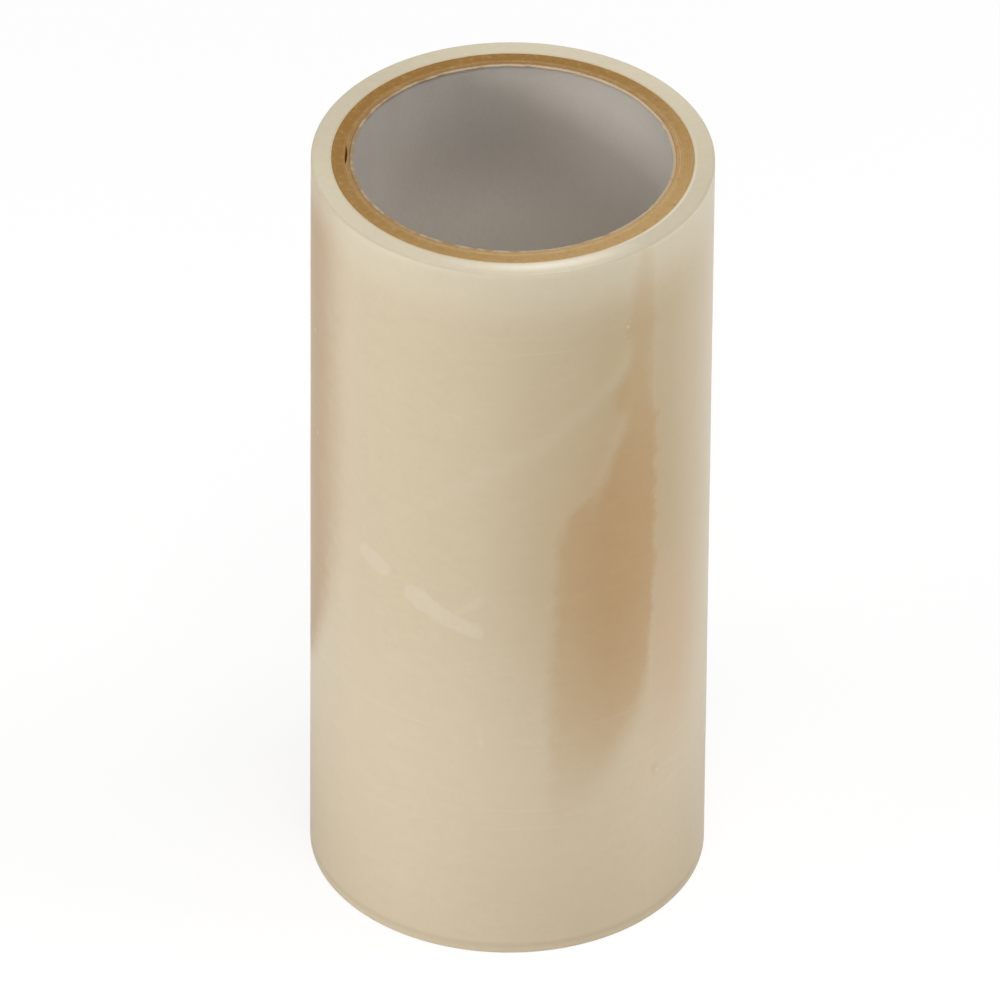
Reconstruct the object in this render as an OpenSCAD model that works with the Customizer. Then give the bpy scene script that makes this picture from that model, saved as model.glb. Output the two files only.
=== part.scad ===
// Roll of clear film for masking, wound on a paperboard core and standing on its end.
// Millimetres, +Z up. The origin is on the core's axis, at the foot of the roll.
// The front is -Y and the right-hand side is +X.

/* [Film] */
// Width of the film, which is the height of the standing roll
film_w = 200; // [50:1:600]
// Thickness of film wound on the core, from the core to the outside
film_build = 4.85; // [1.5:0.05:60]
// Height of the step that the film's free end makes on the outside of the roll
end_step = 0.1; // [0.05:0.01:0.5]
// Place of the free end round the roll, in degrees from the front towards the right
end_angle = 45; // [0:1:359]
// Number of bands of turns that lie a little higher or lower on each end
turn_bands = 12; // [4:1:24]
// Greatest depth of a band of turns below the end of the roll
band_depth = 0.12; // [0.02:0.01:0.4]
// Width of the slope from one band of turns to the next
band_slope = 0.1; // [0.04:0.02:0.14]
// Radius of the soft rim round the outside of each end
rim_r = 0.5; // [0.1:0.1:1]

/* [Core] */
// Bore of the core, inside its paper liner
bore_d = 76.2; // [60:0.1:160]
// Thickness of the grey paper liner
liner_t = 0.4; // [0.1:0.05:0.6]
// Distance that the liner's cut ends lie inside the ends of the board
liner_inset = 0.2; // [0.05:0.05:0.5]
// Thickness of the innermost ply of board
inner_ply_t = 1.1; // [1:0.05:3]
// Thickness of all the other plies of board together
outer_plies_t = 3.15; // [1:0.05:12]
// Bevel along the cut edges of the board
edge_bevel = 0.1; // [0.05:0.05:0.3]

/* [Gap between the plies] */
// Length of the gap round the tube, where the inner ply's edges don't meet
gap_l = 8; // [4:0.5:10]
// Width of the gap at its middle
gap_w = 0.65; // [0.5:0.05:0.8]
// Depth of the gap below the upper end of the core
gap_depth = 12; // [2:1:40]
// Place of the gap round the core, in degrees from the front towards the right
gap_angle = 269; // [0:1:359]

/* [Hidden] */

// Faces round a full circle
$fn = 144;
// How far a cutting shape runs past the solid that it cuts
past = 1;
// Steps in the curve of the film's rim
rim_steps = 3;
// The angle that spreads the depths of the bands unevenly
uneven = 137.5;
// Angle of the front, -Y, as OpenSCAD measures angles
front = -90;

bore_r = bore_d / 2;
inner_ply_r = bore_r + liner_t;
ply_seam_r = inner_ply_r + inner_ply_t;
core_r = ply_seam_r + outer_plies_t;
film_r = core_r + film_build;
band_w = (film_build - rim_r) / turn_bands;
// Half of a slope, which never takes more than a quarter of its band
half_slope = min(band_slope / 2, band_w / 4);

// The gap is the lens between the ply seam and a flatter curve inside it.
gap_edge_x = sqrt(pow(ply_seam_r, 2) - pow(gap_l / 2, 2));
gap_sagitta = gap_edge_x - (ply_seam_r - gap_w);
gap_curve_r = (pow(gap_l / 2, 2) + pow(gap_sagitta, 2)) / (2 * gap_sagitta);

// Depth of one band of turns below the end of the roll; the first lies level with the core.
function band_z(i) = band_depth * (1 - cos(i * uneven)) / 2;

// Half of the slope between two bands, taken off each of them, but not beside the core or the rim.
function slope_at(i, side) =
    side == 0 ? (i == 0 ? 0 : half_slope)
    : (i == turn_bands - 1 ? 0 : -half_slope);

// One end of the film in section, from the core outwards, as [radius, depth below the end].
function end_section(last) = [
    for (i = [0 : turn_bands - 1])
        for (side = [0, 1])
            [core_r + (i + side) * band_w + slope_at(i, side), band_z(i)],
    for (s = [1 : rim_steps])
        [film_r - rim_r * (1 - sin(s * 90 / rim_steps)), last + rim_r * (1 - cos(s * 90 / rim_steps))]
];

// A plain ring between two radii
module ring(r_in, r_out, h) {
    difference() {
        cylinder(r = r_out, h = h);
        translate([0, 0, -past])
            cylinder(r = r_in, h = h + 2 * past);
    }
}

// A ring of board, with its four cut edges bevelled
module board_ring(r_in, r_out) {
    rotate_extrude()
        polygon([
            [r_in + edge_bevel, 0],
            [r_out - edge_bevel, 0],
            [r_out, edge_bevel],
            [r_out, film_w - edge_bevel],
            [r_out - edge_bevel, film_w],
            [r_in + edge_bevel, film_w],
            [r_in, film_w - edge_bevel],
            [r_in, edge_bevel]
        ]);
}

// Half of the roll's outside: a half disc, on the side where y has the given sign
module half_disc(r, x, side) {
    intersection() {
        translate([x, 0, 0])
            cylinder(r = r, h = film_w);
        translate([-film_r - past, side > 0 ? 0 : -film_r - past, -past])
            cube([2 * (film_r + past), film_r + past, film_w + 2 * past]);
    }
}

// Two half discs with their centres apart, so that the outside comes in by one step in a turn
module wound_outline() {
    rotate(front + end_angle) {
        half_disc(film_r, 0, -1);
        half_disc(film_r - end_step / 2, -end_step / 2, 1);
    }
}

// The film: all its turns as one solid, with the bands of turns on both ends
module film_roll() {
    section = end_section(band_z(turn_bands - 1));
    top = [for (p = section) [p[0], film_w - p[1]]];
    foot = [for (i = [len(section) - 1 : -1 : 0]) section[i]];
    color([0.84, 0.80, 0.69])
        intersection() {
            rotate_extrude()
                polygon(concat(top, foot));
            wound_outline();
        }
}

// The outer plies of brown board, wound and glued into one tube
module core_outer_plies() {
    color([0.64, 0.48, 0.29])
        board_ring(ply_seam_r, core_r);
}

// The inner ply of brown board, with the gap where its edges don't meet at the upper end
module core_inner_ply() {
    color([0.67, 0.54, 0.37])
        difference() {
            board_ring(inner_ply_r, ply_seam_r);
            rotate(front + gap_angle)
                translate([ply_seam_r - gap_w + gap_curve_r, 0, film_w - gap_depth])
                    cylinder(r = gap_curve_r, h = gap_depth + past);
        }
}

// The grey paper that lines the bore
module core_liner() {
    color([0.60, 0.57, 0.53])
        translate([0, 0, liner_inset])
            ring(bore_r, inner_ply_r, film_w - 2 * liner_inset);
}

film_roll();
core_outer_plies();
core_inner_ply();
core_liner();
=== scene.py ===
"""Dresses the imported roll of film: the wound film, the board core, its paper liner and the studio.

Object coordinates are in metres, +Z up, with the roll standing on z = 0 and its front towards -Y.
Places on the roll's wall are given as an angle in degrees, from the front towards the right, and a
height in millimetres above the floor.
"""
import math

import bmesh
import bpy
from bpy.props import FloatProperty, FloatVectorProperty, IntProperty, PointerProperty
from mathutils import Euler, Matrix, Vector, noise


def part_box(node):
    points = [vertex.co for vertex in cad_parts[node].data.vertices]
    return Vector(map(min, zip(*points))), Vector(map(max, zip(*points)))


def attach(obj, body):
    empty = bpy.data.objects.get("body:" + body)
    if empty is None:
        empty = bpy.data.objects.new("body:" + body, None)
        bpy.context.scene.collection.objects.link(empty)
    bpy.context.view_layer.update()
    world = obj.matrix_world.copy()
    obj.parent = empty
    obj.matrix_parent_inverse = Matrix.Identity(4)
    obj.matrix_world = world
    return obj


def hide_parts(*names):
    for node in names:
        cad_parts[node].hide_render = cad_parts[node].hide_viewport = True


bl_info = {
    "name": "Roll of Masking Film",
    "version": (1, 0, 0),
    "blender": (4, 5, 0),
    "location": "3D View > Sidebar > Film Roll",
    "description": "Builds a roll of clear film on a lined board core, and a plain studio round it",
    "category": "Object",
}

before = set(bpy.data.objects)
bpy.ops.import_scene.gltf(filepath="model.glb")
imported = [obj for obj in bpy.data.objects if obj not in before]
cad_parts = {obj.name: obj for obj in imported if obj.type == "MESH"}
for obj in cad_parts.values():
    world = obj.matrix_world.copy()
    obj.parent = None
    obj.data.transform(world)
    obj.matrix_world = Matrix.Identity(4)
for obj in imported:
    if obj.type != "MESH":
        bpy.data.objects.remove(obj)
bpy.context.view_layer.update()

MM = 0.001
BODY = "root"


def node_radius(name):
    """Outer radius of a node of the frame, in metres, rounded to a twentieth of a millimetre."""
    low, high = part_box(name)
    return round(max(-low.x, -low.y, high.x, high.y) / (0.05 * MM)) * 0.05 * MM


def tone(red, green, blue):
    """A colour as it reads on a screen, 0 to 255, turned into the linear values that Blender takes."""
    return tuple(
        c / 12.92 if c <= 0.04045 else ((c + 0.055) / 1.055) ** 2.4
        for c in (red / 255, green / 255, blue / 255)
    )


# Marks on the film

# The clear patch, where the outer turns cling and no painted reflection lies: left and right edge as (height,
# angle).
PATCH_LEFT = [
    (36, 12), (60, 12), (90, 12.5), (110, 14), (122, 14.5), (128, 16), (134, 25),
    (140, 28.5), (149, 33), (153, 34), (158, 30), (161, 31), (165, 34), (169, 37),
    (173, 37), (178, 35), (186, 37), (200, 38.5),
]
PATCH_RIGHT = [
    (30, 12), (40, 20), (50, 28), (58, 34.5), (64, 39), (70, 42), (80, 44), (90, 45), (105, 46),
    (115, 46), (130, 46), (147, 46), (154, 44.5), (159, 42.5), (166, 43.5), (172, 43.5), (178, 45),
    (186, 44), (200, 43.5),
]
# How strongly the patch shows, as (height, share)
PATCH_DEPTH = [
    (26, 0), (36, 0.08), (46, 0.22), (58, 0.5), (75, 0.78), (100, 1), (128, 1), (142, 0.85),
    (154, 0.66), (162, 0.62), (170, 0.52), (178, 0.46), (185, 0.38), (192, 0.3), (200, 0.14),
]
# The clear band round the left side, partly painted shade where the painted reflection ends: its edge nearest
# the front, as (height, angle)
SIDE_EDGE = [
    (56, -92), (58, -85), (62, -80), (70, -74), (80, -69), (90, -66), (110, -64), (150, -64), (200, -65),
]
# How dull the film is round the front, as (angle, share); there it is painted shade, where less of the
# painted reflection lies
DULL_ROUND = [
    (-75, 0), (-62, 0.06), (-45, 0.25), (-30, 0.28), (-15, 0.3), (-4, 0.38), (6, 0.53), (14, 0.6), (22, 0.76),
    (30, 0.98), (52, 0.95), (82, 0),
]
# How much darker the foot is, as (angle, share)
FOOT_DARKENING = [
    (-110, 0.2), (-85, 0.8), (-66, 0.6), (-48, 0.2), (-30, 0.1), (30, 0.8), (50, 1.0), (66, 1.35), (90, 1.4),
    (150, 0.3),
]
# The long air ridge that crosses the front, and the short one beside the patch, as (angle, height)
LONG_RIDGE = [
    (-90, 54), (-84, 58), (-80, 60.5), (-75, 67), (-70, 80), (-66, 95), (-60, 105), (-45, 116),
    (-25, 130), (-5, 143), (10, 151), (20, 158), (30, 165), (38, 172),
]
SHORT_RIDGE = [(23, 130), (25, 132), (28, 139), (33, 150), (38, 158)]
# Air bubbles under the last turn: (angle, height, radius) of one end and of the other, in degrees and mm,
# and how strongly each shows
BUBBLES = [
    ((-45.0, 108.9, 2.5), (-39.2, 107.2, 2.4), 1.0),
    ((-28.2, 103.0, 2.7), (-19.0, 98.6, 2.3), 1.1),
    ((-19.0, 98.6, 2.3), (-9.2, 95.4, 1.9), 1.05),
    ((-15.5, 100.4, 0.6), (-8.4, 104.2, 1.2), 0.55),
]
# Flecks of air too small to raise the film, in the same form
FLECKS = [
    ((-24.0, 160.6, 0.45), (-20.8, 159.0, 0.4), 0.45),
    ((-17.0, 157.9, 0.4), (-14.6, 157.3, 0.5), 0.4),
    ((-8.2, 66.6, 0.7), (-7.6, 61.0, 0.45), 0.6),
    ((-15.2, 64.0, 0.5), (-14.9, 62.2, 0.4), 0.4),
]
# The bubbles end at this angle.
BUBBLE_STOP = -6.8
# Painted light and shade on the cut ends of the film round the roll, as (angle, share)
END_LIGHT_AND_SHADE = [
    (-180, 1.05), (-165, 1.02), (-135, 0.92), (-105, 0.94), (-75, 1.02), (-45, 1.03), (-15, 1.05), (15, 1.08),
    (32, 0.99), (45, 0.895), (75, 0.91), (105, 0.98), (135, 1.05), (180, 1.05),
]
# How pale the cut board is, as (radius in mm, share): paler at the rim and along the glued seam
PLY_TONES = [
    (38.4, 0.06), (38.8, 0.1), (39.2, 0.22), (39.5, 0.3), (39.8, 0.24), (40.1, 0.08), (40.4, 0.0),
    (41.4, 0.04), (42.0, 0.08), (42.4, 0.15), (42.75, 0.2),
]
# Fine rings round the roll, as (height, share of full strength)
RINGS = [(177, 0.5), (66, 1.0), (50, 0.8), (43, 0.9), (37.5, 0.6)]
# How much of a mark's own colour shows where the mark is strongest
END_GLOW_SHARE = 0.6
HALO_SHARE = 0.42
FOOT_SHARE = 0.38
PATCH_SHARE = 0.85
LONG_RIDGE_SHARE = 0.11
SHORT_RIDGE_SHARE = 0.10
BUBBLE_SHARE = 0.36
RING_SHARE = 0.24
SPECK_SHARE = 0.5
# Lines that show between the plies of the cut board
BOARD_PLIES = 5


def read_curve(points, at):
    """The value of a curve through the points, at a place along it, as the Float Curve node reads it."""
    if at <= points[0][0]:
        return points[0][1]
    for (x0, y0), (x1, y1) in zip(points, points[1:]):
        if at <= x1:
            return y0 + (y1 - y0) * (at - x0) / (x1 - x0)
    return points[-1][1]


def smooth(low, high, at):
    """0 below low, 1 above high, and a smooth step between."""
    t = min(1.0, max(0.0, (at - low) / (high - low)))
    return t * t * (3 - 2 * t)


# Settings

def length(name, description, metres):
    """One length setting."""
    return FloatProperty(name=name, description=description, default=metres, unit="LENGTH", precision=5)


def view_angle(name, description, degrees):
    """One angle setting, given in degrees."""
    return FloatProperty(name=name, description=description, default=math.radians(degrees), subtype="ANGLE")


class RollSizes(bpy.types.PropertyGroup):
    """Sizes of the roll that come from the frame, and of its fine relief."""

    height: length("Height", "Width of the film, which stands upright", round(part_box("film_roll")[1].z, 4))
    film_radius: length("Film radius", "Outside of the wound film", node_radius("film_roll"))
    core_radius: length("Core radius", "Outside of the board core", node_radius("core_outer_plies"))
    seam_radius: length(
        "Seam radius", "Where the inner ply meets the outer plies", node_radius("core_inner_ply"))
    lining_radius: length("Lining radius", "Where the liner meets the board", node_radius("core_liner"))
    bore_radius: length("Bore radius", "Inside of the paper liner", 38.1 * MM)
    end_step: length("Free end", "Height of the step at the film's free end", 0.02 * MM)
    end_angle: FloatProperty(
        name="Free end's place", description="Degrees from the front towards the right", default=45.0)
    turn_lines: IntProperty(
        name="Turn lines", description="Rings that show on each end of the film", default=40)
    ridge_height: length("Ridge height", "Height of the air ridges on the wall", 0.07 * MM)
    bubble_height: length("Bubble height", "Height of the air bubbles on the wall", 0.10 * MM)
    gap_width: length("Gap width", "Width of the gap between the plies", 0.65 * MM)
    gap_length: length("Gap length", "Length of that gap round the core", 8 * MM)
    gap_depth: length("Gap depth", "Depth of that gap below the upper end", 12 * MM)
    gap_angle: FloatProperty(
        name="Gap's place", description="Degrees from the front towards the right", default=-91.0)


def colour(name, description, *screen):
    """One colour setting, given as it reads on a screen."""
    return FloatVectorProperty(
        name=name, description=description, default=tone(*screen), subtype="COLOR", size=3, min=0, max=1)


class RollColours(bpy.types.PropertyGroup):
    """Colours of the film, the board and the paper."""

    # Milky film: air between the turns, with a painted reflection of the studio in its paleness
    milky: colour("Milky film", "Film with air between its turns, and a painted reflection of the studio", 213, 197, 168)
    clear: colour("Clear film", "Film whose turns cling, so that the board shows through", 186, 149, 99)
    # Side film: partly painted shade, where the painted reflection ends
    side: colour("Side film", "The clearer band round the left side, partly painted shade", 182, 150, 108)
    # Dull film: also the painted shade round the front
    olive: colour("Dull film and painted shade", "Film with little air between its turns", 193, 174, 138)
    foot: colour("Darker foot", "The foot of the roll, darker towards the bottom", 178, 158, 122)
    # Painted light near the end of the roll
    pale: colour("Pale film", "Painted light in the film near the roll's end, where light comes in", 216, 206, 181)
    blush: colour("Warm spot", "Small warm spots in the film", 205, 172, 137)
    air: colour("Air", "Bubbles, ridges and rings", 222, 210, 186)
    end_face: colour("Film end", "The cut ends of the turns", 207, 196, 170)
    # Painted highlight on the innermost turns of the cut ends
    painted_end_highlight: colour("Painted highlight", "Painted highlight on the innermost turns of the cut ends", 246, 238, 222)
    board: colour("Outer plies", "Brown board of the outer plies", 146, 108, 53)
    painted_lit_board: colour("Painted light on board", "Painted light on the board's cut towards the front and right", 180, 147, 97)
    board_pale: colour("Worn board", "Paler fibres of the board", 192, 162, 118)
    board_dark: colour("Dark board", "Darker fibres of the board", 134, 94, 44)
    inner_board: colour("Inner ply", "Brown board of the inner ply", 148, 113, 67)
    seam: colour("Seam", "The glued seam between the plies", 206, 176, 132)
    # Painted light inside the gap
    gap: colour("Gap", "Painted light inside the gap between the plies", 186, 142, 82)
    paper: colour("Liner", "Grey paper of the liner", 204, 197, 188)
    paper_edge: colour("Liner edge", "The liner's torn fibres", 197, 175, 146)


class StudioSettings(bpy.types.PropertyGroup):
    """The camera, the lamps and the floor."""

    distance: length("Distance", "From the camera to the roll's middle", 4.2706)
    elevation: view_angle("Elevation", "Angle at which the camera looks down", 36.348)
    pan: view_angle("Pan", "Turn of the camera that sets the roll a little right of the middle", -0.0319)
    tilt: view_angle("Tilt", "Turn of the camera up or down", -0.0012)
    roll: view_angle("Roll", "Turn of the camera about its own line of sight", 0.5007)
    lens: FloatProperty(name="Lens", description="Focal length in millimetres", default=644.64, min=1)
    sky: FloatProperty(
        name="Room light", description="Strength of the even light from all sides", default=0.2, min=0)


# Mesh helpers

def angle_of(point):
    """Angle of a point round the roll, in degrees from the front towards the right."""
    return math.degrees(math.atan2(point.x, -point.y))


def at_angle(radius, degrees, height):
    """The point at a radius, an angle and a height."""
    turn = math.radians(degrees)
    return Vector((radius * math.sin(turn), -radius * math.cos(turn), height))


def spun(section, steps):
    """A bmesh of a closed section, as (radius, height) pairs, spun once round the axis."""
    bm = bmesh.new()
    loop = [bm.verts.new((radius, 0, height)) for radius, height in section]
    edges = [bm.edges.new((a, b)) for a, b in zip(loop, loop[1:] + loop[:1])]
    bmesh.ops.spin(
        bm, geom=loop + edges, cent=(0, 0, 0), axis=(0, 0, 1), angle=2 * math.pi,
        steps=steps, use_merge=True)
    bmesh.ops.recalc_face_normals(bm, faces=bm.faces)
    return bm


def mesh_of(bm, name, material):
    """Turns a bmesh into a mesh with a material."""
    mesh = bpy.data.meshes.new(name)
    bm.to_mesh(mesh)
    bm.free()
    mesh.materials.append(material)
    return mesh


def placed(name, data):
    """Puts a mesh, a lamp or a camera into the scene as an object."""
    made = bpy.data.objects.new(name, data)
    bpy.context.scene.collection.objects.link(made)
    return made


def finished(bm, name, material, nodes):
    """Turns a bmesh into a smooth piece that rides on the roll and stands for nodes of the frame."""
    mesh = mesh_of(bm, name, material)
    mesh.shade_smooth()
    piece = placed(name, mesh)
    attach(piece, BODY)
    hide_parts(*nodes)


def ripple(point, size, seed):
    """Smooth noise from -1 to 1 at a point, with lumps of the given size in metres."""
    return noise.noise(point / size + Vector((seed, seed * 1.7, seed * 0.3)))


def lumpy(point, size, seed):
    """The same noise, from 0 to 1."""
    return 0.5 + 0.5 * ripple(point, size, seed)


# Node helpers

NODE_COLUMN = 40
NODE_ROW = 160
NODE_ROWS = 12


class Graph:
    """Adds nodes to a node tree and joins them; a value may be a number, a tuple or a socket."""

    def __init__(self, tree):
        self.tree = tree
        self.count = 0

    def node(self, kind, **settings):
        """A new node with the given settings."""
        made = self.tree.nodes.new(kind)
        made.location = (self.count * NODE_COLUMN, -(self.count % NODE_ROWS) * NODE_ROW)
        self.count += 1
        for key, value in settings.items():
            setattr(made, key, value)
        return made

    def feed(self, socket, value):
        """Joins a socket to an input, or sets the input's own value."""
        if isinstance(value, bpy.types.NodeSocket):
            self.tree.links.new(value, socket)
        elif value is not None:
            socket.default_value = value

    def fill(self, node, **values):
        """Feeds a node's inputs by name, with an underscore for each space, and gives its outputs."""
        for name, value in values.items():
            self.feed(node.inputs[name.replace("_", " ")], value)
        return node.outputs

    def calc(self, operation, a, b=None, c=None, clamp=False):
        """A Math node."""
        made = self.node("ShaderNodeMath", operation=operation, use_clamp=clamp)
        for socket, value in zip(made.inputs, (a, b, c)):
            self.feed(socket, value)
        return made.outputs[0]

    def minus(self, a, b):
        """One value less another."""
        return self.calc("SUBTRACT", a, b)

    def line(self, value, slope, start=1):
        """A straight line: the value times the slope, plus the start."""
        return self.calc("MULTIPLY_ADD", value, slope, start)

    def joined(self, operation, values):
        """All the values joined by one operation of the Math node."""
        result = values[0]
        for value in values[1:]:
            result = self.calc(operation, result, value)
        return result

    def product(self, *values):
        """All the values multiplied."""
        return self.joined("MULTIPLY", values)

    def greatest(self, *values):
        """The greatest of all the values."""
        return self.joined("MAXIMUM", values)

    def step(self, value, low, high, to_low=0, to_high=1):
        """A smooth step from one level to another."""
        made = self.node("ShaderNodeMapRange", interpolation_type="SMOOTHSTEP")
        levels = {"From_Min": low, "From_Max": high, "To_Min": to_low, "To_Max": to_high}
        return self.fill(made, Value=value, **levels)["Result"]

    def bell(self, distance, width):
        """1 where the distance is 0, falling smoothly to 0 at the width, on both sides."""
        return self.step(self.calc("ABSOLUTE", distance), 0, width, 1, 0)

    def near(self, value, centre, width):
        """A bell round a centre."""
        return self.bell(self.minus(value, centre), width)

    def curve(self, value, points):
        """A Float Curve through points given in their own units."""
        xs = [x for x, _ in points]
        ys = [y for _, y in points]
        x_low, x_span = min(xs), max(xs) - min(xs)
        y_low, y_span = min(ys), max(ys) - min(ys)
        made = self.node("ShaderNodeFloatCurve")
        drawn = made.mapping.curves[0]
        for _ in points[2:]:
            drawn.points.new(0.5, 0.5)
        for handle, (x, y) in zip(drawn.points, points):
            handle.location = ((x - x_low) / x_span, (y - y_low) / y_span)
            handle.handle_type = "VECTOR"
        made.mapping.update()
        share = self.calc("DIVIDE", self.minus(value, x_low), x_span, clamp=True)
        return self.line(self.fill(made, Value=share)["Value"], y_span, y_low)

    def noise(self, vector, scale, detail=2, roughness=0.5, distortion=0):
        """A noise texture's value, 0 to 1."""
        made = self.node("ShaderNodeTexNoise")
        return self.fill(made, Vector=vector, Scale=scale, Detail=detail, Roughness=roughness,
                         Distortion=distortion)["Fac"]

    def stretch(self, vector, scale):
        """A vector scaled by a Mapping node."""
        return self.fill(self.node("ShaderNodeMapping"), Vector=vector, Scale=scale)["Vector"]

    def mix(self, share, a, b):
        """A colour between two colours."""
        made = self.node("ShaderNodeMix", data_type="RGBA")
        self.feed(made.inputs["Factor"], share)
        for socket, value in ((made.inputs[6], a), (made.inputs[7], b)):
            self.feed(socket, value if isinstance(value, bpy.types.NodeSocket) else (*value, 1))
        return made.outputs[2]

    def shade(self, colour_in, amount):
        """A colour made lighter or darker by a factor."""
        made = self.node("ShaderNodeVectorMath", operation="SCALE")
        self.feed(made.inputs[0], colour_in)
        return self.fill(made, Scale=amount)[0]


def new_group(name, inputs, outputs):
    """A node group of floats, apart from an input called Object, which is a vector."""
    tree = bpy.data.node_groups.new(name, "ShaderNodeTree")
    for label in inputs:
        kind = "NodeSocketVector" if label == "Object" else "NodeSocketFloat"
        tree.interface.new_socket(label, in_out="INPUT", socket_type=kind)
    for label in outputs:
        tree.interface.new_socket(label, in_out="OUTPUT", socket_type="NodeSocketFloat")
    return Graph(tree), tree.nodes.new("NodeGroupInput").outputs, tree.nodes.new("NodeGroupOutput")


def place_group():
    """Gives the angle in degrees, the height and the radius in millimetres of a point of the roll."""
    graph, entry, leave = new_group("Place on the Roll", ["Object"], ["Angle", "Height", "Radius"])
    split = graph.fill(graph.node("ShaderNodeSeparateXYZ"), Vector=entry["Object"])
    turn = graph.calc("ARCTAN2", split["X"], graph.product(split["Y"], -1))
    flat = graph.fill(graph.node("ShaderNodeCombineXYZ"), X=split["X"], Y=split["Y"])
    length = graph.node("ShaderNodeVectorMath", operation="LENGTH")
    graph.feed(length.inputs[0], flat["Vector"])
    graph.fill(leave, Angle=graph.calc("DEGREES", turn), Height=graph.product(split["Z"], 1000),
               Radius=graph.product(length.outputs["Value"], 1000))
    return graph.tree


def bubble_group():
    """A long bubble between two ends, each with its own radius: 1 inside, 0 outside."""
    graph, entry, leave = new_group(
        "Air Bubble",
        ["Along", "Height", "Start Along", "Start Height", "Start Radius",
         "End Along", "End Height", "End Radius", "Softness"], ["Mask"])
    run_x = graph.minus(entry["End Along"], entry["Start Along"])
    run_y = graph.minus(entry["End Height"], entry["Start Height"])
    from_x = graph.minus(entry["Along"], entry["Start Along"])
    from_y = graph.minus(entry["Height"], entry["Start Height"])
    dot = graph.line(from_x, run_x, graph.product(from_y, run_y))
    square = graph.line(run_x, run_x, graph.product(run_y, run_y))
    share = graph.calc("DIVIDE", dot, square, clamp=True)
    off_x = graph.minus(from_x, graph.product(run_x, share))
    off_y = graph.minus(from_y, graph.product(run_y, share))
    distance = graph.calc("SQRT", graph.line(off_x, off_x, graph.product(off_y, off_y)))
    grow = graph.minus(entry["End Radius"], entry["Start Radius"])
    radius = graph.line(grow, share, entry["Start Radius"])
    depth = graph.calc("DIVIDE", graph.minus(radius, distance), entry["Softness"])
    graph.fill(leave, Mask=graph.step(depth, -0.5, 0.5))
    return graph.tree


def grain_group():
    """Fine uneven grain with a size in millimetres, for paper, board and film: a value round 0."""
    graph, entry, leave = new_group("Grain", ["Object", "Size"], ["Value"])
    grains = graph.noise(entry["Object"], graph.calc("DIVIDE", 1000, entry["Size"]), 3, 0.6)
    graph.fill(leave, Value=graph.line(grains, 2, -1))
    return graph.tree


def shared_group(graph, name, maker, **values):
    """Places a node group that is made once, and feeds its inputs."""
    made = graph.node("ShaderNodeGroup")
    made.node_tree = bpy.data.node_groups.get(name) or maker()
    return graph.fill(made, **values)


def grain(graph, coords, size):
    """Grain of a size in millimetres."""
    return shared_group(graph, "Grain", grain_group, Object=coords, Size=size)["Value"]


def plain_material(name):
    """A material with a Principled BSDF, and the object coordinates."""
    material = bpy.data.materials.new(name)
    material.use_nodes = True
    graph = Graph(material.node_tree)
    shader = material.node_tree.nodes["Principled BSDF"]
    return material, graph, shader, graph.node("ShaderNodeTexCoord").outputs["Object"]


def roll_material(name):
    """The same, with the place on the roll to paint by."""
    material, graph, shader, coords = plain_material(name)
    place = shared_group(graph, "Place on the Roll", place_group, Object=coords)
    return material, graph, shader, coords, place


def add_bump(graph, shader, relief, strength, depth):
    """Fine relief that shows in the light and moves no surface."""
    bump = graph.fill(graph.node("ShaderNodeBump"), Strength=strength, Distance=depth, Height=relief)
    graph.fill(shader, Normal=bump["Normal"])


# Materials

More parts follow.
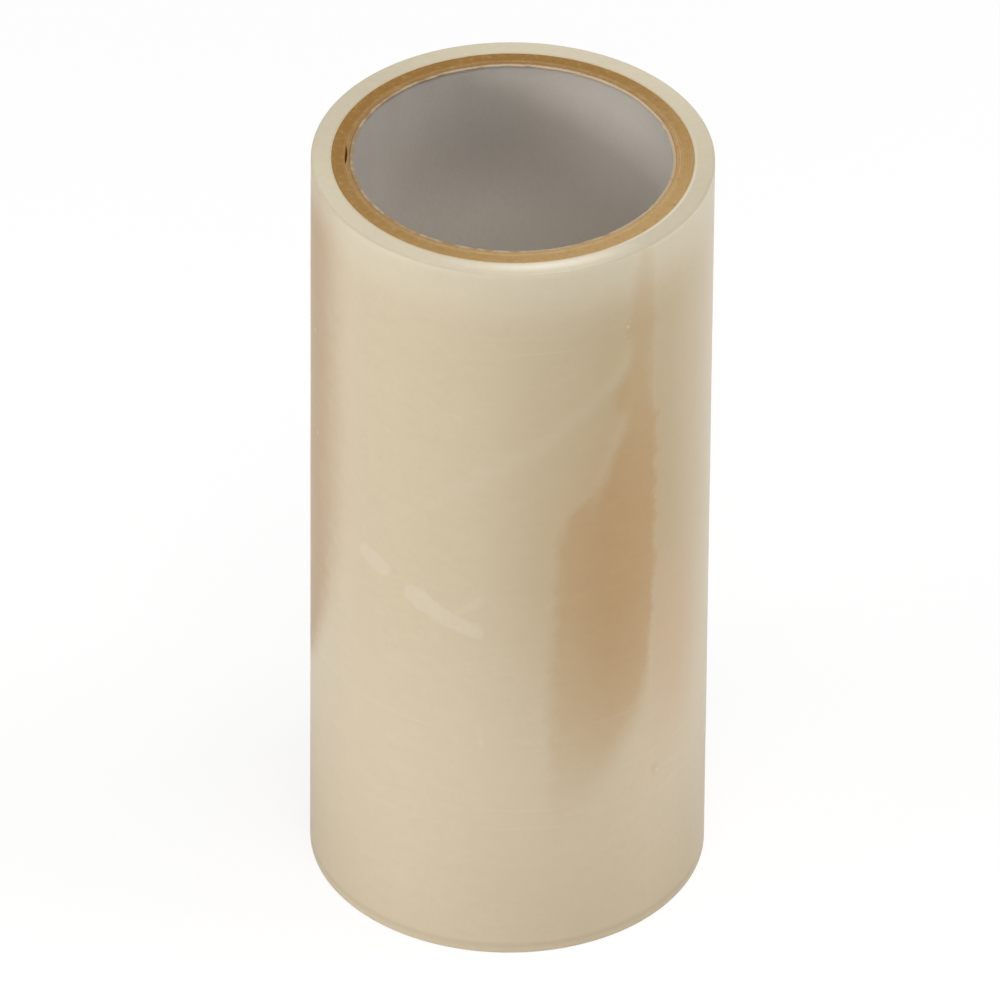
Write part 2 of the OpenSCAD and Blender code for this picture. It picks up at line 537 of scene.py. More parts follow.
class FilmMarks:
    """The marks on the film, each as a mask from 0 to 1 over its surface."""

    def __init__(self, graph, coords, place, sizes):
        self.graph = graph
        self.coords = coords
        self.angle, self.height, self.radius = place["Angle"], place["Height"], place["Radius"]
        self.top = sizes.height * 1000
        self.edge = sizes.film_radius * 1000
        self.core = sizes.core_radius * 1000
        # An uneven angle and height, so that no edge of a mark is quite straight
        waver = graph.minus(graph.noise(coords, 210, 4, 0.6), 0.5)
        self.waver_fine = graph.minus(graph.noise(coords, 1100, 2), 0.5)
        drift = graph.line(self.waver_fine, 2.4, graph.product(waver, 6))
        self.angle_in = graph.calc("ADD", self.angle, drift)
        self.height_in = graph.line(waver, 4, self.height)

    def clear_patch_without_reflection(self):
        """The clear patch, where the turns cling and no painted reflection lies, crisp on its right and soft
        at its foot.
        """
        graph, angle, height = self.graph, self.angle, self.height
        from_left = graph.minus(self.angle_in, graph.curve(self.height_in, PATCH_LEFT))
        from_right = graph.minus(graph.curve(self.height_in, PATCH_RIGHT), self.angle_in)
        soft_left = graph.step(height, 60, 130, 6.5, 5)
        soft_right = graph.greatest(
            graph.step(height, 55, 86, 14, 2.6), graph.step(height, 148, 162, 2.6, 5.5))
        left_share = graph.step(graph.calc("DIVIDE", from_left, soft_left), -0.5, 0.5)
        right_share = graph.step(graph.calc("DIVIDE", from_right, soft_right), -0.5, 0.5)
        middle = graph.step(angle, 13, 33, 0.60, 1)
        return graph.product(left_share, right_share, middle, graph.curve(height, PATCH_DEPTH))

    def halo(self):
        """The board's colour, which shows faintly through the film all round the patch."""
        graph = self.graph
        return graph.product(graph.near(self.angle, 31, 46), graph.near(self.height, 112, 92))

    def side_band(self):
        """The clearer band round the left side, which fades out on the far side."""
        graph = self.graph
        # Painted shade, with clearer film, left of where the painted reflection ends
        from_edge = graph.minus(graph.curve(self.height_in, SIDE_EDGE), self.angle_in)
        softness = graph.step(self.height, 72, 118, 7, 13)
        return graph.product(
            graph.step(graph.calc("DIVIDE", from_edge, softness), -1.1, 0.85),
            graph.step(self.angle, -128, -96), graph.step(self.height, 186, 200, 1, 0.45))

    def dull_film_and_shade(self):
        """Film with little air between its turns, in soft clouds on the far side and round the patch, where
        it is also painted shade.
        """
        graph, height = self.graph, self.height
        # Round the front: painted shade, where less of the painted reflection lies
        front = graph.product(graph.curve(self.angle, DULL_ROUND), graph.step(height, 55, 120),
                              graph.step(height, 176, 200, 1, 0.25))
        cloud = graph.noise(graph.stretch(self.coords, (1, 1, 0.45)), 26, 3, 0.55, 0.4)
        far_side = graph.step(graph.calc("ABSOLUTE", self.angle), 96, 140)
        return graph.greatest(front, graph.product(graph.step(cloud, 0.5, 0.72), far_side))

    def darker_foot(self):
        """The foot of the roll, which is a little darker towards the bottom."""
        graph = self.graph
        return graph.product(graph.step(self.height, 0, 58, 1, 0), graph.curve(self.angle, FOOT_DARKENING))

    def warm_spots(self):
        """A small warm spot at the patch's foot, and a broad one on its right."""
        graph = self.graph
        small = graph.product(graph.near(self.angle, 47.5, 3.2), graph.near(self.height, 44.5, 3.4), 0.55)
        broad = graph.product(graph.near(self.angle, 56, 20), graph.near(self.height, 78, 46), 0.6)
        return graph.greatest(small, broad)

    def ridges(self):
        """The long air ridge across the front, and the short one beside the patch."""
        graph, angle = self.graph, self.angle
        off_long = graph.minus(self.height_in, graph.curve(self.angle_in, LONG_RIDGE))
        width = graph.step(angle, -72, -56, 1.9, 5)
        span = graph.product(graph.step(angle, -88, -82), graph.step(angle, 33, 38, 1, 0))
        long = graph.product(graph.bell(graph.calc("DIVIDE", off_long, width), 1), span,
                             graph.step(angle, -30, 8, 0.55, 1))
        off_short = graph.minus(self.height_in, graph.curve(self.angle_in, SHORT_RIDGE))
        span = graph.product(graph.step(angle, 20, 28), graph.step(angle, 33, 39, 1, 0))
        return long, graph.product(graph.bell(off_short, 9), span)

    def bubbles(self):
        """Air bubbles and flecks, which end at a set angle."""
        graph = self.graph
        mm_per_degree = math.radians(1) * self.edge
        along = graph.product(self.angle, mm_per_degree)
        masks = []
        for start, end, share in BUBBLES + FLECKS:
            one = shared_group(
                graph, "Air Bubble", bubble_group, Along=along, Height=self.height_in,
                Start_Along=start[0] * mm_per_degree, Start_Height=start[1], Start_Radius=start[2],
                End_Along=end[0] * mm_per_degree, End_Height=end[1], End_Radius=end[2], Softness=1.2)
            masks.append(graph.product(one["Mask"], share))
        return graph.product(
            graph.greatest(*masks), graph.step(self.angle, BUBBLE_STOP - 0.6, BUBBLE_STOP, 1, 0),
            graph.step(self.waver_fine, -0.2, 0.12, 0.72, 1))

    def rings(self):
        """Fine broken rings round the roll, which wander a little up and down."""
        graph = self.graph
        wander = graph.line(graph.noise(self.coords, 30, 1), 1.6, self.height)
        broken = graph.noise(self.coords, 42, 3)
        return graph.greatest(*[
            graph.product(graph.near(wander, level + 0.8, 0.55), graph.step(broken, 0.47, 0.62), strength)
            for level, strength in RINGS])

    def specks(self):
        """A few bright specks, in about one of every eight cells of a Voronoi texture."""
        graph = self.graph
        cells = graph.fill(graph.node("ShaderNodeTexVoronoi", feature="F1"), Vector=self.coords, Scale=110)
        chance = graph.node("ShaderNodeSeparateColor")
        graph.feed(chance.inputs[0], cells["Color"])
        return graph.product(graph.step(cells["Distance"], 0.03, 0.09, 1, 0),
                             graph.step(chance.outputs["Red"], 0.86, 0.9))

    def end_colour(self, colours):
        """The colour of the cut ends, with a painted highlight on the innermost turns at the front and right.
        """
        graph, angle = self.graph, self.angle
        turns = graph.noise(graph.stretch(self.coords, (1, 1, 0)), 600, 2)
        from_core = graph.minus(self.radius, self.core)
        # Painted highlight on the innermost turns: broad at the front, thin towards the right
        broad = graph.product(graph.near(angle, 10, 36), graph.near(from_core, 1.75, 2.3), 0.85)
        thin = graph.product(graph.near(angle, 62, 62), graph.near(from_core, 0.4, 0.5), 0.55)
        by_board = graph.product(graph.bell(from_core, 0.8), graph.step(turns, 0.3, 0.7, 0.2, 0.6))
        # Painted shade along the outer rim of the cut ends, strongest at the front
        rim = graph.product(graph.near(self.radius, self.edge - 0.1, 0.75),
                            graph.step(graph.calc("ABSOLUTE", angle), 60, 120, 1, 0.3))
        # Painted light and shade round the ring of cut ends
        face = graph.shade(colours.end_face, graph.curve(angle, END_LIGHT_AND_SHADE))
        face = graph.mix(by_board, face, colours.board_pale)
        face = graph.mix(graph.product(graph.greatest(broad, thin), 0.8), face, colours.painted_end_highlight)
        face = graph.shade(face, graph.line(rim, -0.13))
        return graph.shade(face, graph.line(turns, 0.10, 0.95))


def film_material(sizes, colours):
    """Clear film in many turns: milky where air lies between them, with a painted reflection; clear and warm
    where they cling.
    """
    material, graph, shader, coords, place = roll_material("film_many_turns")
    marks = FilmMarks(graph, coords, place, sizes)
    height, top = marks.height, marks.top

    # Colour, from the broadest mark to the finest
    # Painted light near the end of the roll, where light comes in through the cut ends
    near_top = graph.product(graph.step(height, top - 17, top - 1), END_GLOW_SHARE)
    # The milky colour holds a painted reflection of the studio
    base = graph.mix(marks.dull_film_and_shade(), colours.milky, colours.olive)
    base = graph.mix(near_top, base, colours.pale)
    base = graph.mix(marks.side_band(), base, colours.side)
    base = graph.mix(graph.product(marks.halo(), HALO_SHARE), base, colours.clear)
    # The foot is darker towards the bottom
    base = graph.mix(graph.product(marks.darker_foot(), FOOT_SHARE), base, colours.foot)
    # The clear patch: clinging turns, and painted shade where the painted reflection is left out
    base = graph.mix(graph.product(marks.clear_patch_without_reflection(), PATCH_SHARE), base, colours.clear)
    base = graph.mix(marks.warm_spots(), base, colours.blush)
    long_ridge, short_ridge = marks.ridges()
    air = graph.greatest(
        graph.product(long_ridge, LONG_RIDGE_SHARE), graph.product(short_ridge, SHORT_RIDGE_SHARE),
        graph.product(marks.bubbles(), BUBBLE_SHARE), graph.product(marks.rings(), RING_SHARE),
        graph.product(marks.specks(), SPECK_SHARE))
    base = graph.mix(air, base, colours.air)
    on_end = graph.greatest(
        graph.step(height, top - 0.55, top - 0.2), graph.step(height, 0.2, 0.55, 1, 0))
    base = graph.mix(on_end, base, marks.end_colour(colours))

    # Fine unevenness, the film darker towards the foot, and a line of painted shade just above the floor
    grains = grain(graph, coords, 1.6)
    streak = graph.noise(graph.stretch(coords, (1, 1, 14)), 34, 3, 0.6)
    mottle = graph.noise(graph.stretch(coords, (1, 1, 1.6)), 210, 4, 0.6)
    tint = graph.line(grains, 0.03)
    tint = graph.line(graph.minus(mottle, 0.5), 0.07, tint)
    tint = graph.line(graph.minus(streak, 0.5), 0.035, tint)
    near_foot = graph.product(graph.step(height, 1, 34, 1, 0), 0.55)
    tint = graph.line(near_foot, -0.05, tint)
    # A line of painted shade just above the floor, at the rounded foot
    tint = graph.line(graph.near(height, 2.4, 1.3), -0.1, tint)
    rough = graph.line(on_end, 0.15, graph.line(streak, 0.14, 0.32))
    graph.fill(shader, Base_Color=graph.shade(base, tint), Roughness=rough, IOR=1.5, Coat_Weight=0.15,
               Coat_Roughness=0.18)
    add_bump(graph, shader, graph.line(streak, 0.55, graph.product(grains, 0.12)), 0.5, 0.06 * MM)
    return material


def board_material(name, sizes, colours, body):
    """Brown board: fibres in lumps, thin lines between the plies, and painted light inside the gap."""
    material, graph, shader, coords, place = roll_material(name)
    angle, height, radius = place["Angle"], place["Height"], place["Radius"]
    top = sizes.height * 1000
    seam = sizes.seam_radius * 1000
    lumps = grain(graph, coords, 1.5)
    fibres = grain(graph, coords, 0.5)

    # Painted light makes the cut lighter towards the front and right; the cut is also paler along its rim and
    # its glued seam, more so in that painted light.
    front = graph.calc("COSINE", graph.calc("RADIANS", graph.minus(angle, 40)))
    front = graph.calc("POWER", graph.line(front, 0.5, 0.5), 1.7)
    base = graph.mix(front, body, colours.painted_lit_board)
    pale = graph.product(graph.curve(radius, PLY_TONES), graph.line(front, 0.6, 0.4))
    base = graph.mix(pale, base, colours.board_pale)
    base = graph.mix(graph.step(lumps, 0, 0.5, 0, 0.3), base, colours.board_pale)
    base = graph.mix(graph.step(lumps, -0.5, -0.05, 0.3, 0), base, colours.board_dark)

    # Thin lines between the plies, the broken seam, and painted light inside the gap
    ply = (sizes.core_radius * 1000 - seam) / BOARD_PLIES
    phase = graph.calc("DIVIDE", graph.minus(radius, seam), ply)
    wander = graph.line(graph.noise(coords, 130, 2), 0.5, phase)
    between = graph.near(graph.calc("FRACT", wander), 0.5, 0.16)
    base = graph.shade(base, graph.line(between, -0.10))
    broken = graph.step(graph.noise(coords, 170, 3), 0.35, 0.6, 0.1, 0.34)
    # The seam shows more where the painted light falls
    glued = graph.product(graph.near(radius, seam - 0.05, 0.4), broken, graph.line(front, 0.8, 0.4))
    base = graph.mix(glued, base, colours.seam)
    # Painted light inside the gap, lifting the shade that falls in it
    inside = graph.product(
        graph.step(height, top - 0.7, top - 0.25, 1, 0), graph.step(radius, seam - 0.9, seam - 0.6),
        graph.step(graph.minus(radius, seam), 0.1, 0.3, 1, 0))
    base = graph.mix(inside, base, colours.gap)

    graph.fill(shader, Base_Color=graph.shade(base, graph.line(fibres, 0.17, 1.06)),
               Roughness=graph.line(fibres, 0.06, 0.86), Specular_IOR_Level=0.25)
    add_bump(graph, shader, graph.line(fibres, 0.5, graph.product(between, -0.6)), 0.6, 0.12 * MM)
    return material


def liner_material(sizes, colours):
    """Grey paper with painted shade near the ends and painted light and shadow deeper in, and pale torn
    fibres along its cut edges.
    """
    material, graph, shader, coords, place = roll_material("grey_paper")
    angle, height = place["Angle"], place["Height"]
    top = sizes.height * 1000
    fibres = grain(graph, coords, 1.1)
    lumps = grain(graph, coords, 14)

    # The torn edge
    edge = graph.greatest(graph.step(height, top - 0.75, top - 0.4), graph.step(height, 0.4, 0.75, 1, 0))
    facing = graph.calc("COSINE", graph.calc("RADIANS", graph.minus(angle, 105)))
    patchy = graph.line(facing, 0.13, graph.noise(coords, 300, 3))
    rim = graph.mix(graph.step(patchy, 0.30, 0.56, 0.35, 1), colours.inner_board, colours.paper_edge)
    base = graph.mix(edge, colours.paper, rim)

    # Painted light and shade: the paper is darker near the ends and lighter deeper in, with a painted patch
    # of light at the back and a painted shadow beside it.
    from_end = graph.calc("MINIMUM", height, graph.minus(top, height))
    around = graph.calc("WRAP", angle, 360, 0)
    painted_light_at_back = graph.product(graph.near(around, 148, 86), graph.step(height, top - 42, top - 6))
    painted_shadow_pool = graph.product(graph.near(around, 188, 52), graph.near(height, top - 24, 20))
    # Painted light and shade, together with the paper grain
    shade = graph.product(
        graph.line(fibres, 0.05, graph.line(lumps, 0.035)), graph.step(from_end, 2, 50, 0.83, 1.32),
        graph.line(painted_light_at_back, 0.24), graph.line(painted_shadow_pool, -0.19))
    graph.fill(shader, Base_Color=graph.shade(base, shade), Roughness=graph.line(lumps, 0.05, 0.72),
               Specular_IOR_Level=0.3)
    add_bump(graph, shader, fibres, 0.5, 0.08 * MM)
    return material


# Shapes

WALL_STEPS = 360
RIM_RADIUS = 0.5 * MM
RIM_ROWS = 4
# Rows of vertices up the film's wall: close at the heights of the bubbles, and wide elsewhere
CLOSE_FROM = 0.090
CLOSE_TO = 0.114
CLOSE_ROWS = 0.8 * MM
WIDE_ROWS = 1.7 * MM
# Half the width of the long air ridge, in millimetres, and the angles between which it rises and fades
RIDGE_HALF_WIDTH = 3.4
RIDGE_RISES = (-86, -80)
RIDGE_FADES = (38, 30)
# No bubble begins before this angle.
BUBBLE_START = -55
# Slow waves and flat bands in the wall: how high they are, and how large
WAVE_HEIGHT = 0.035 * MM
WAVE_SIZE = 0.030
BAND_HEIGHT = 0.012 * MM
BAND_SIZE = 0.045
BAND_FLATNESS = 9
# How far a group of turns, and a single turn, may sink below the end of the roll
GROUP_SINK = 0.07 * MM
TURN_SINK = 0.02 * MM
# How wide the step at the free end is, in degrees
STEP_WIDTH = 0.12


def wall_heights(height):
    """Heights of the rows of vertices up the film's wall, closest where the bubbles are."""
    rows = []
    at = RIM_RADIUS
    while at < height - RIM_RADIUS:
        rows.append(at)
        at += CLOSE_ROWS if CLOSE_FROM < at < CLOSE_TO else WIDE_ROWS
    return rows


def film_section(sizes):
    """The film in section, from the core's side at the foot, out, up and back: (radius, height) pairs."""
    outer = sizes.film_radius - RIM_RADIUS
    radii = [
        sizes.core_radius + (outer - sizes.core_radius) * i / sizes.turn_lines
        for i in range(sizes.turn_lines + 1)
    ]
    rim = [
        (outer + RIM_RADIUS * math.sin(a), RIM_RADIUS * (1 - math.cos(a)))
        for a in (math.pi / 2 * i / RIM_ROWS for i in range(1, RIM_ROWS))
    ]
    foot = [(radius, 0.0) for radius in radii] + rim
    head = [(radius, sizes.height - rise) for radius, rise in reversed(foot)]
    return foot + [(sizes.film_radius, row) for row in wall_heights(sizes.height)] + head


def capsule(along, height, start, end, scale):
    """How far inside a long bubble a place of the wall is, in millimetres."""
    a = Vector((start[0] * scale, start[1]))
    run = Vector((end[0] * scale, end[1])) - a
    point = Vector((along, height)) - a
    share = min(1.0, max(0.0, point.dot(run) / run.dot(run)))
    return start[2] + (end[2] - start[2]) * share - (point - run * share).length


def wall_relief(degrees, height, sizes):
    """Height of the film's relief at a place of the wall, in metres."""
    mm = height / MM
    scale = math.radians(1) * sizes.film_radius / MM
    turn = (sizes.end_angle - degrees) % 360 / 360
    relief = -sizes.end_step * turn
    if RIDGE_RISES[0] < degrees < RIDGE_FADES[0]:
        far = abs(mm - read_curve(LONG_RIDGE, degrees)) / RIDGE_HALF_WIDTH
        ends = smooth(*RIDGE_RISES, degrees) * smooth(*RIDGE_FADES, degrees)
        relief += sizes.ridge_height * smooth(1, 0, far) * ends
    if BUBBLE_START < degrees < BUBBLE_STOP:
        inside = max(capsule(degrees * scale, mm, a, b, scale) for a, b, _ in BUBBLES)
        relief += sizes.bubble_height * smooth(-0.5, 1.2, inside)
    point = at_angle(sizes.film_radius, degrees, height)
    relief += WAVE_HEIGHT * ripple(point, WAVE_SIZE, 3.0)
    relief += BAND_HEIGHT * ripple(Vector((point.x, point.y, point.z * BAND_FLATNESS)), BAND_SIZE, 8.0)
    return relief


def end_relief(radius, degrees, sizes):
    """How far the end of a turn lies below the end of the roll, in metres."""
    share = (radius - sizes.core_radius) / (sizes.film_radius - sizes.core_radius)
    group = lumpy(Vector((share * 7.0, 0, 0)), 1.0, 5.0)
    sway = lumpy(at_angle(radius, degrees, 0), 0.035, 11.0)
    turn = lumpy(Vector((share * 60.0, math.sin(math.radians(degrees)), 0)), 1.0, 2.0)
    return GROUP_SINK * group * sway + TURN_SINK * turn


class ROLL_OT_wind_film(bpy.types.Operator):
    """Winds the film: one solid with its free end, air ridges, bubbles and the ends of its turns."""

    bl_idname = "film_roll.wind_film"
    bl_label = "Wind the Film"

    def execute(self, context):
        sizes = context.scene.roll_sizes
        bm = spun(film_section(sizes), WALL_STEPS)
        flat_out = sizes.film_radius - RIM_RADIUS * 1.01
        for vert in bm.verts:
            radius = vert.co.xy.length
            degrees = angle_of(vert.co)
            height = vert.co.z
            sunk = end_relief(radius, degrees, sizes) * smooth(sizes.film_radius, flat_out, radius)
            if radius > sizes.core_radius + 0.01 * MM:
                if height > sizes.height - RIM_RADIUS:
                    height -= sunk
                elif height < RIM_RADIUS:
                    height += sunk
            if radius > flat_out:
                # The first column past the free end closes up to it, so that its step is sharp.
                off = degrees - sizes.end_angle
                if 0.5 < off < 1.01 * 360 / WALL_STEPS:
                    degrees = sizes.end_angle + STEP_WIDTH
                radius += wall_relief(degrees, height, sizes)
            vert.co = at_angle(radius, degrees, height)
        finished(bm, "wound_film", film_material(sizes, context.scene.roll_colours), ["film_roll"])
        return {"FINISHED"}


def ring_section(inner, outer, height, bevel, rings, rows):
    """A ring in section, with bevelled edges, some rings across its ends and rows up its walls."""
    radii = [inner + bevel + (outer - inner - 2 * bevel) * i / rings for i in range(rings + 1)]
    foot = [(radius, 0.0) for radius in radii]
    head = [(radius, height) for radius in reversed(radii)]
    rise = [height * i / rows for i in range(1, rows)]
    outside = [(outer, bevel)] + [(outer, z) for z in rise] + [(outer, height - bevel)]
    inside = [(inner, height - bevel)] + [(inner, z) for z in reversed(rise)] + [(inner, bevel)]
    return foot + outside + head + inside


BOARD_STEPS = 360
BOARD_BEVEL = 0.06 * MM
# Rings of vertices across the ends of the plies, and rows up their walls
OUTER_RINGS = 16
INNER_RINGS = 8
BOARD_ROWS = 8
# How uneven the knife cut is on the outer plies and on the inner ply
OUTER_CUT = 0.12 * MM
INNER_CUT = 0.10 * MM


def roughen_ends(bm, sizes, depth, seed):
    """Makes the knife cut at each end of a ring uneven; it only takes away."""
    for vert in bm.verts:
        near_top = vert.co.z > sizes.height - 2 * BOARD_BEVEL
        near_foot = vert.co.z < 2 * BOARD_BEVEL
        if near_top or near_foot:
            cut = depth * (0.6 * lumpy(vert.co, 0.0022, seed) + 0.4 * lumpy(vert.co, 0.012, seed + 4))
            vert.co.z += -cut if near_top else cut


class ROLL_OT_roll_core(bpy.types.Operator):
    """Rolls the board core: the outer plies, and the inner ply with the gap between its edges."""

    bl_idname = "film_roll.roll_core"
    bl_label = "Roll the Core"

    def execute(self, context):
        sizes = context.scene.roll_sizes
        colours = context.scene.roll_colours
        section = ring_section(
            sizes.seam_radius, sizes.core_radius, sizes.height, BOARD_BEVEL, OUTER_RINGS, BOARD_ROWS)
        bm = spun(section, BOARD_STEPS)
        roughen_ends(bm, sizes, OUTER_CUT, 1.0)
        board = board_material("brown_board_outer", sizes, colours, colours.board)
        finished(bm, "core_board_outer", board, ["core_outer_plies"])

        bm = spun(self.inner_section(sizes), BOARD_STEPS)
        half = math.degrees(sizes.gap_length / 2 / sizes.seam_radius)
        for vert in bm.verts:
            in_gap = vert.co.z > sizes.height - sizes.gap_depth + 0.01 * MM
            off = (angle_of(vert.co) - sizes.gap_angle + 180) % 360 - 180
            radius = vert.co.xy.length
            if in_gap and abs(off) < half:
                ply = sizes.seam_radius - sizes.lining_radius
                pull = sizes.gap_width * (1 - (off / half) ** 2) * (radius - sizes.lining_radius) / ply
                vert.co.xy *= (radius - pull) / radius
        roughen_ends(bm, sizes, INNER_CUT, 7.0)
        board = board_material("brown_board_inner", sizes, colours, colours.inner_board)
        finished(bm, "core_board_inner", board, ["core_inner_ply"])
        return {"FINISHED"}

    @staticmethod
    def inner_section(sizes):
        """The inner ply in section, with a row just under the floor of the gap."""
        section = ring_section(
            sizes.lining_radius, sizes.seam_radius, sizes.height, BOARD_BEVEL, INNER_RINGS, BOARD_ROWS)
        floor = sizes.height - sizes.gap_depth
        rows = [(sizes.seam_radius, floor), (sizes.seam_radius, floor + 0.02 * MM)]
        at = next(i for i, (radius, z) in enumerate(section) if radius == sizes.seam_radius and z > floor)
        return section[:at] + rows + section[at:]


LINER_STEPS = 720
LINER_ROWS = 8
# The strip along each cut edge that is frayed, and its rows of vertices
LIP = 1.4 * MM
LIP_ROWS = 4
# How far the lip leans into the bore everywhere, where it is torn and where it is nicked, in millimetres
LEAN_ALL = 0.15
LEAN_TORN = 0.55
LEAN_NICKED = 0.18
# How far its edge drops everywhere and where it is torn, in millimetres
DROP_ALL = 0.03
DROP_TORN = 0.30


class ROLL_OT_line_bore(bpy.types.Operator):
    """Lines the bore with grey paper, whose cut edges are frayed and lean into the bore."""

    bl_idname = "film_roll.line_bore"
    bl_label = "Line the Bore"

    def execute(self, context):
        sizes = context.scene.roll_sizes
        inner, outer, height = sizes.bore_radius, sizes.lining_radius, sizes.height
        lip_rows = [LIP * (1 - i / LIP_ROWS) for i in range(LIP_ROWS + 1)]
        between = [height * i / LINER_ROWS for i in range(1, LINER_ROWS)]
        rows = lip_rows[::-1] + between + [height - z for z in lip_rows]
        across = [inner + (outer - inner) * i / 3 for i in range(1, 3)]
        section = (
            [(inner, z) for z in reversed(rows)]
            + [(radius, 0.0) for radius in across]
            + [(outer, z) for z in rows]
            + [(radius, height) for radius in reversed(across)]
        )
        bm = spun(section, LINER_STEPS)
        for vert in bm.verts:
            from_end = min(vert.co.z, height - vert.co.z)
            if from_end > LIP:
                continue
            bend = smooth(LIP, 0, from_end)
            tear = lumpy(vert.co, 0.0035, 2.0)
            nick = lumpy(vert.co, 0.0009, 9.0)
            wave = lumpy(vert.co, 0.016, 5.0)
            radius = vert.co.xy.length
            lean = (LEAN_ALL + LEAN_TORN * tear * wave + LEAN_NICKED * nick) * MM * bend
            lean *= smooth(outer + 0.1 * MM, inner, radius)
            drop = (DROP_ALL + DROP_TORN * nick * tear) * MM * bend
            vert.co.xy *= (radius - lean) / radius
            vert.co.z += drop if vert.co.z < height / 2 else -drop
        paper = liner_material(sizes, context.scene.roll_colours)
        finished(bm, "bore_liner", paper, ["core_liner"])
        return {"FINISHED"}


# Studio

FLOOR_RADIUS = 3.0
# The floor lies a hair under the roll, so that the two faces don't meet.
FLOOR_DROP = 0.02 * MM
FLOOR_COLOUR = (0.90, 0.90, 0.90)
# The camera sees the floor as a blend of its lit colour and this even glow.
FLOOR_GLOW = 1.07
GLOW_SHARE = 0.75

# Lamps: name, angle from the front towards the right, height above the horizon, distance, size, watts
LAMPS = [
    ("key_low", -60, 14, 1.6, 0.3, 6.9),
    ("key_high", -73, 27, 1.6, 0.6, 4.1),
    ("front_low", 0, 22, 2.2, 1.0, 2.9),
    ("front_high", 5, 62, 1.8, 0.8, 6.2),
    ("overhead", 60, 76, 1.8, 1.2, 12.0),
    ("fill_right", 90, 24, 1.9, 1.2, 11.5),
]


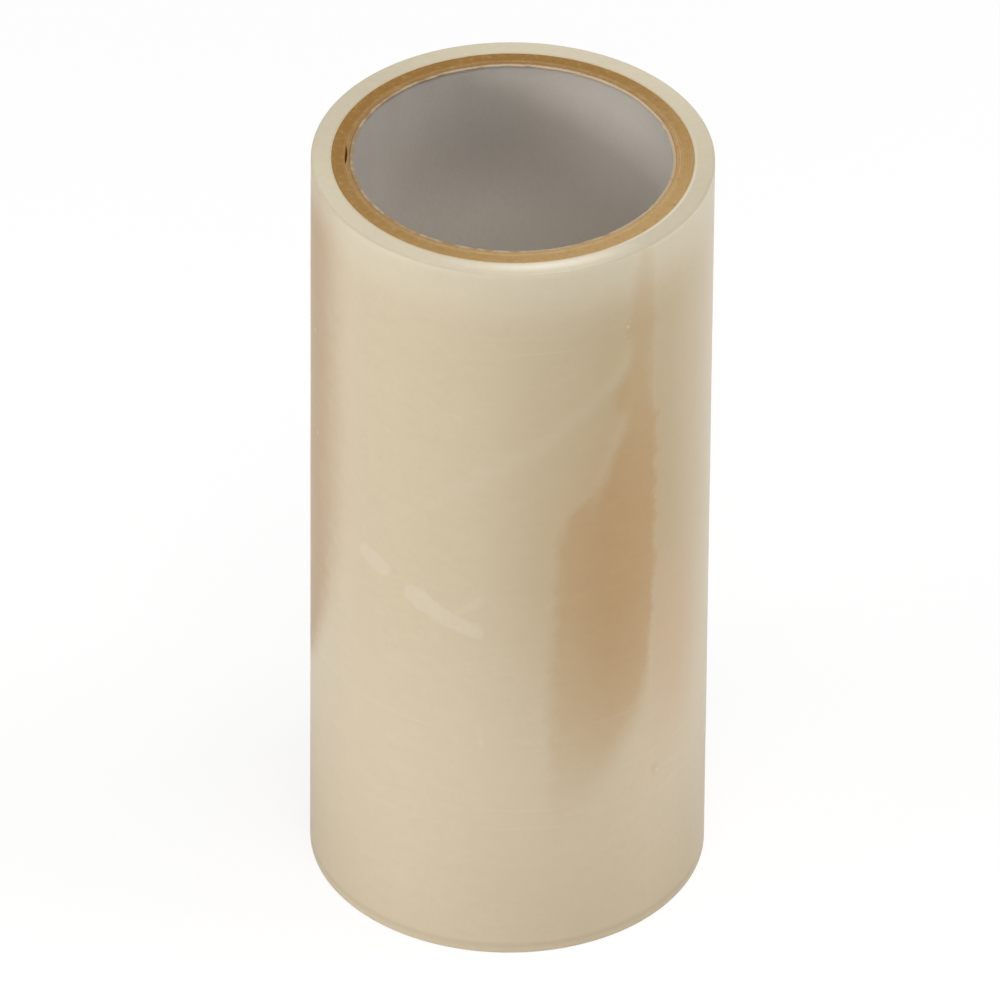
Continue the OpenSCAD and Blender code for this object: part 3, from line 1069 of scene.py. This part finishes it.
class ROLL_OT_set_studio(bpy.types.Operator):
    """Sets the camera, the lamps, the even room light and the pale floor."""

    bl_idname = "film_roll.set_studio"
    bl_label = "Set the Studio"

    def execute(self, context):
        scene = context.scene
        studio = scene.roll_studio
        self.camera(scene, studio, scene.roll_sizes.height / 2)
        scene.view_settings.view_transform = "Standard"
        self.room_light(scene, studio)
        for lamp in LAMPS:
            self.lamp(scene, *lamp)
        self.floor()
        return {"FINISHED"}

    @staticmethod
    def camera(scene, studio, middle):
        """Puts the camera at the photograph's viewing angle."""
        data = bpy.data.cameras.new("camera")
        data.lens = studio.lens
        data.sensor_width = 36
        data.clip_end = 20
        eye = placed("camera", data)
        away = Vector((0, -math.cos(studio.elevation), math.sin(studio.elevation)))
        eye.location = Vector((0, 0, middle)) + away * studio.distance
        look = (-away).to_track_quat("-Z", "Y")
        own = Euler((studio.tilt, -studio.pan, studio.roll), "XYZ").to_quaternion()
        eye.rotation_euler = (look @ own).to_euler()
        scene.camera = eye

    @staticmethod
    def room_light(scene, studio):
        """Even white light; the camera, reflections and clear things see it as plain white."""
        world = bpy.data.worlds.new("room")
        scene.world = world
        world.use_nodes = True
        graph = Graph(world.node_tree)
        path = graph.node("ShaderNodeLightPath").outputs
        seen = graph.calc("ADD", path["Is Camera Ray"], path["Is Glossy Ray"], clamp=True)
        seen = graph.calc("ADD", seen, path["Is Transmission Ray"], clamp=True)
        span = graph.fill(graph.node("ShaderNodeMapRange"), Value=seen, To_Min=studio.sky, To_Max=1.0)
        graph.fill(world.node_tree.nodes["Background"], Color=(1, 1, 1, 1), Strength=span["Result"])

    @staticmethod
    def lamp(scene, name, degrees, rise, distance, size, watts):
        """One soft square lamp that points at the roll's middle."""
        data = bpy.data.lights.new(name, "AREA")
        data.shape = "SQUARE"
        data.size = size
        data.energy = watts
        lamp = placed(name, data)
        middle = Vector((0, 0, scene.roll_sizes.height / 2))
        flat = math.cos(math.radians(rise)) * distance
        lamp.location = middle + at_angle(flat, degrees, math.sin(math.radians(rise)) * distance)
        lamp.rotation_euler = (middle - lamp.location).to_track_quat("-Z", "Y").to_euler()

    @staticmethod
    def floor():
        """A round pale floor, white where the light falls freely and grey in the roll's shadow."""
        bm = bmesh.new()
        bmesh.ops.create_circle(bm, cap_ends=True, radius=FLOOR_RADIUS, segments=96)
        bmesh.ops.translate(bm, vec=(0, 0, -FLOOR_DROP), verts=bm.verts)
        material, graph, shader, coords = plain_material("pale_floor")
        floor = placed("floor", mesh_of(bm, "floor", material))
        speckle = graph.line(graph.noise(coords, 900), 0.02, 0.99)
        graph.fill(shader, Base_Color=graph.shade(FLOOR_COLOUR, speckle), Roughness=0.9,
                   Specular_IOR_Level=0.1)
        glow = graph.fill(graph.node("ShaderNodeEmission"), Strength=FLOOR_GLOW)
        path = graph.node("ShaderNodeLightPath").outputs
        blend = graph.node("ShaderNodeMixShader")
        graph.fill(blend, Fac=graph.product(path["Is Camera Ray"], GLOW_SHARE))
        graph.feed(blend.inputs[1], shader.outputs[0])
        graph.feed(blend.inputs[2], glow[0])
        graph.fill(material.node_tree.nodes["Material Output"], Surface=blend.outputs[0])


class ROLL_PT_panel(bpy.types.Panel):
    """Lists the steps that build the roll."""

    bl_label = "Film Roll"
    bl_idname = "ROLL_PT_panel"
    bl_space_type = "VIEW_3D"
    bl_region_type = "UI"
    bl_category = "Film Roll"

    def draw(self, context):
        for operator in (ROLL_OT_set_studio, ROLL_OT_wind_film, ROLL_OT_roll_core, ROLL_OT_line_bore):
            self.layout.operator(operator.bl_idname)
        for settings in (context.scene.roll_sizes, context.scene.roll_colours, context.scene.roll_studio):
            box = self.layout.box()
            for name in settings.bl_rna.properties.keys():
                if name not in ("rna_type", "name"):
                    box.prop(settings, name)


CLASSES = (
    RollSizes, RollColours, StudioSettings,
    ROLL_OT_set_studio, ROLL_OT_wind_film, ROLL_OT_roll_core, ROLL_OT_line_bore, ROLL_PT_panel,
)


def register():
    """Registers the classes and the scene's settings."""
    for item in CLASSES:
        bpy.utils.register_class(item)
    bpy.types.Scene.roll_sizes = PointerProperty(type=RollSizes)
    bpy.types.Scene.roll_colours = PointerProperty(type=RollColours)
    bpy.types.Scene.roll_studio = PointerProperty(type=StudioSettings)


def unregister():
    """Takes the settings and the classes away again."""
    del bpy.types.Scene.roll_studio
    del bpy.types.Scene.roll_colours
    del bpy.types.Scene.roll_sizes
    for item in reversed(CLASSES):
        bpy.utils.unregister_class(item)


def main():
    """Builds the studio and the roll."""
    register()
    bpy.ops.film_roll.set_studio()
    bpy.ops.film_roll.wind_film()
    bpy.ops.film_roll.roll_core()
    bpy.ops.film_roll.line_bore()


if __name__ == "__main__":
    main()
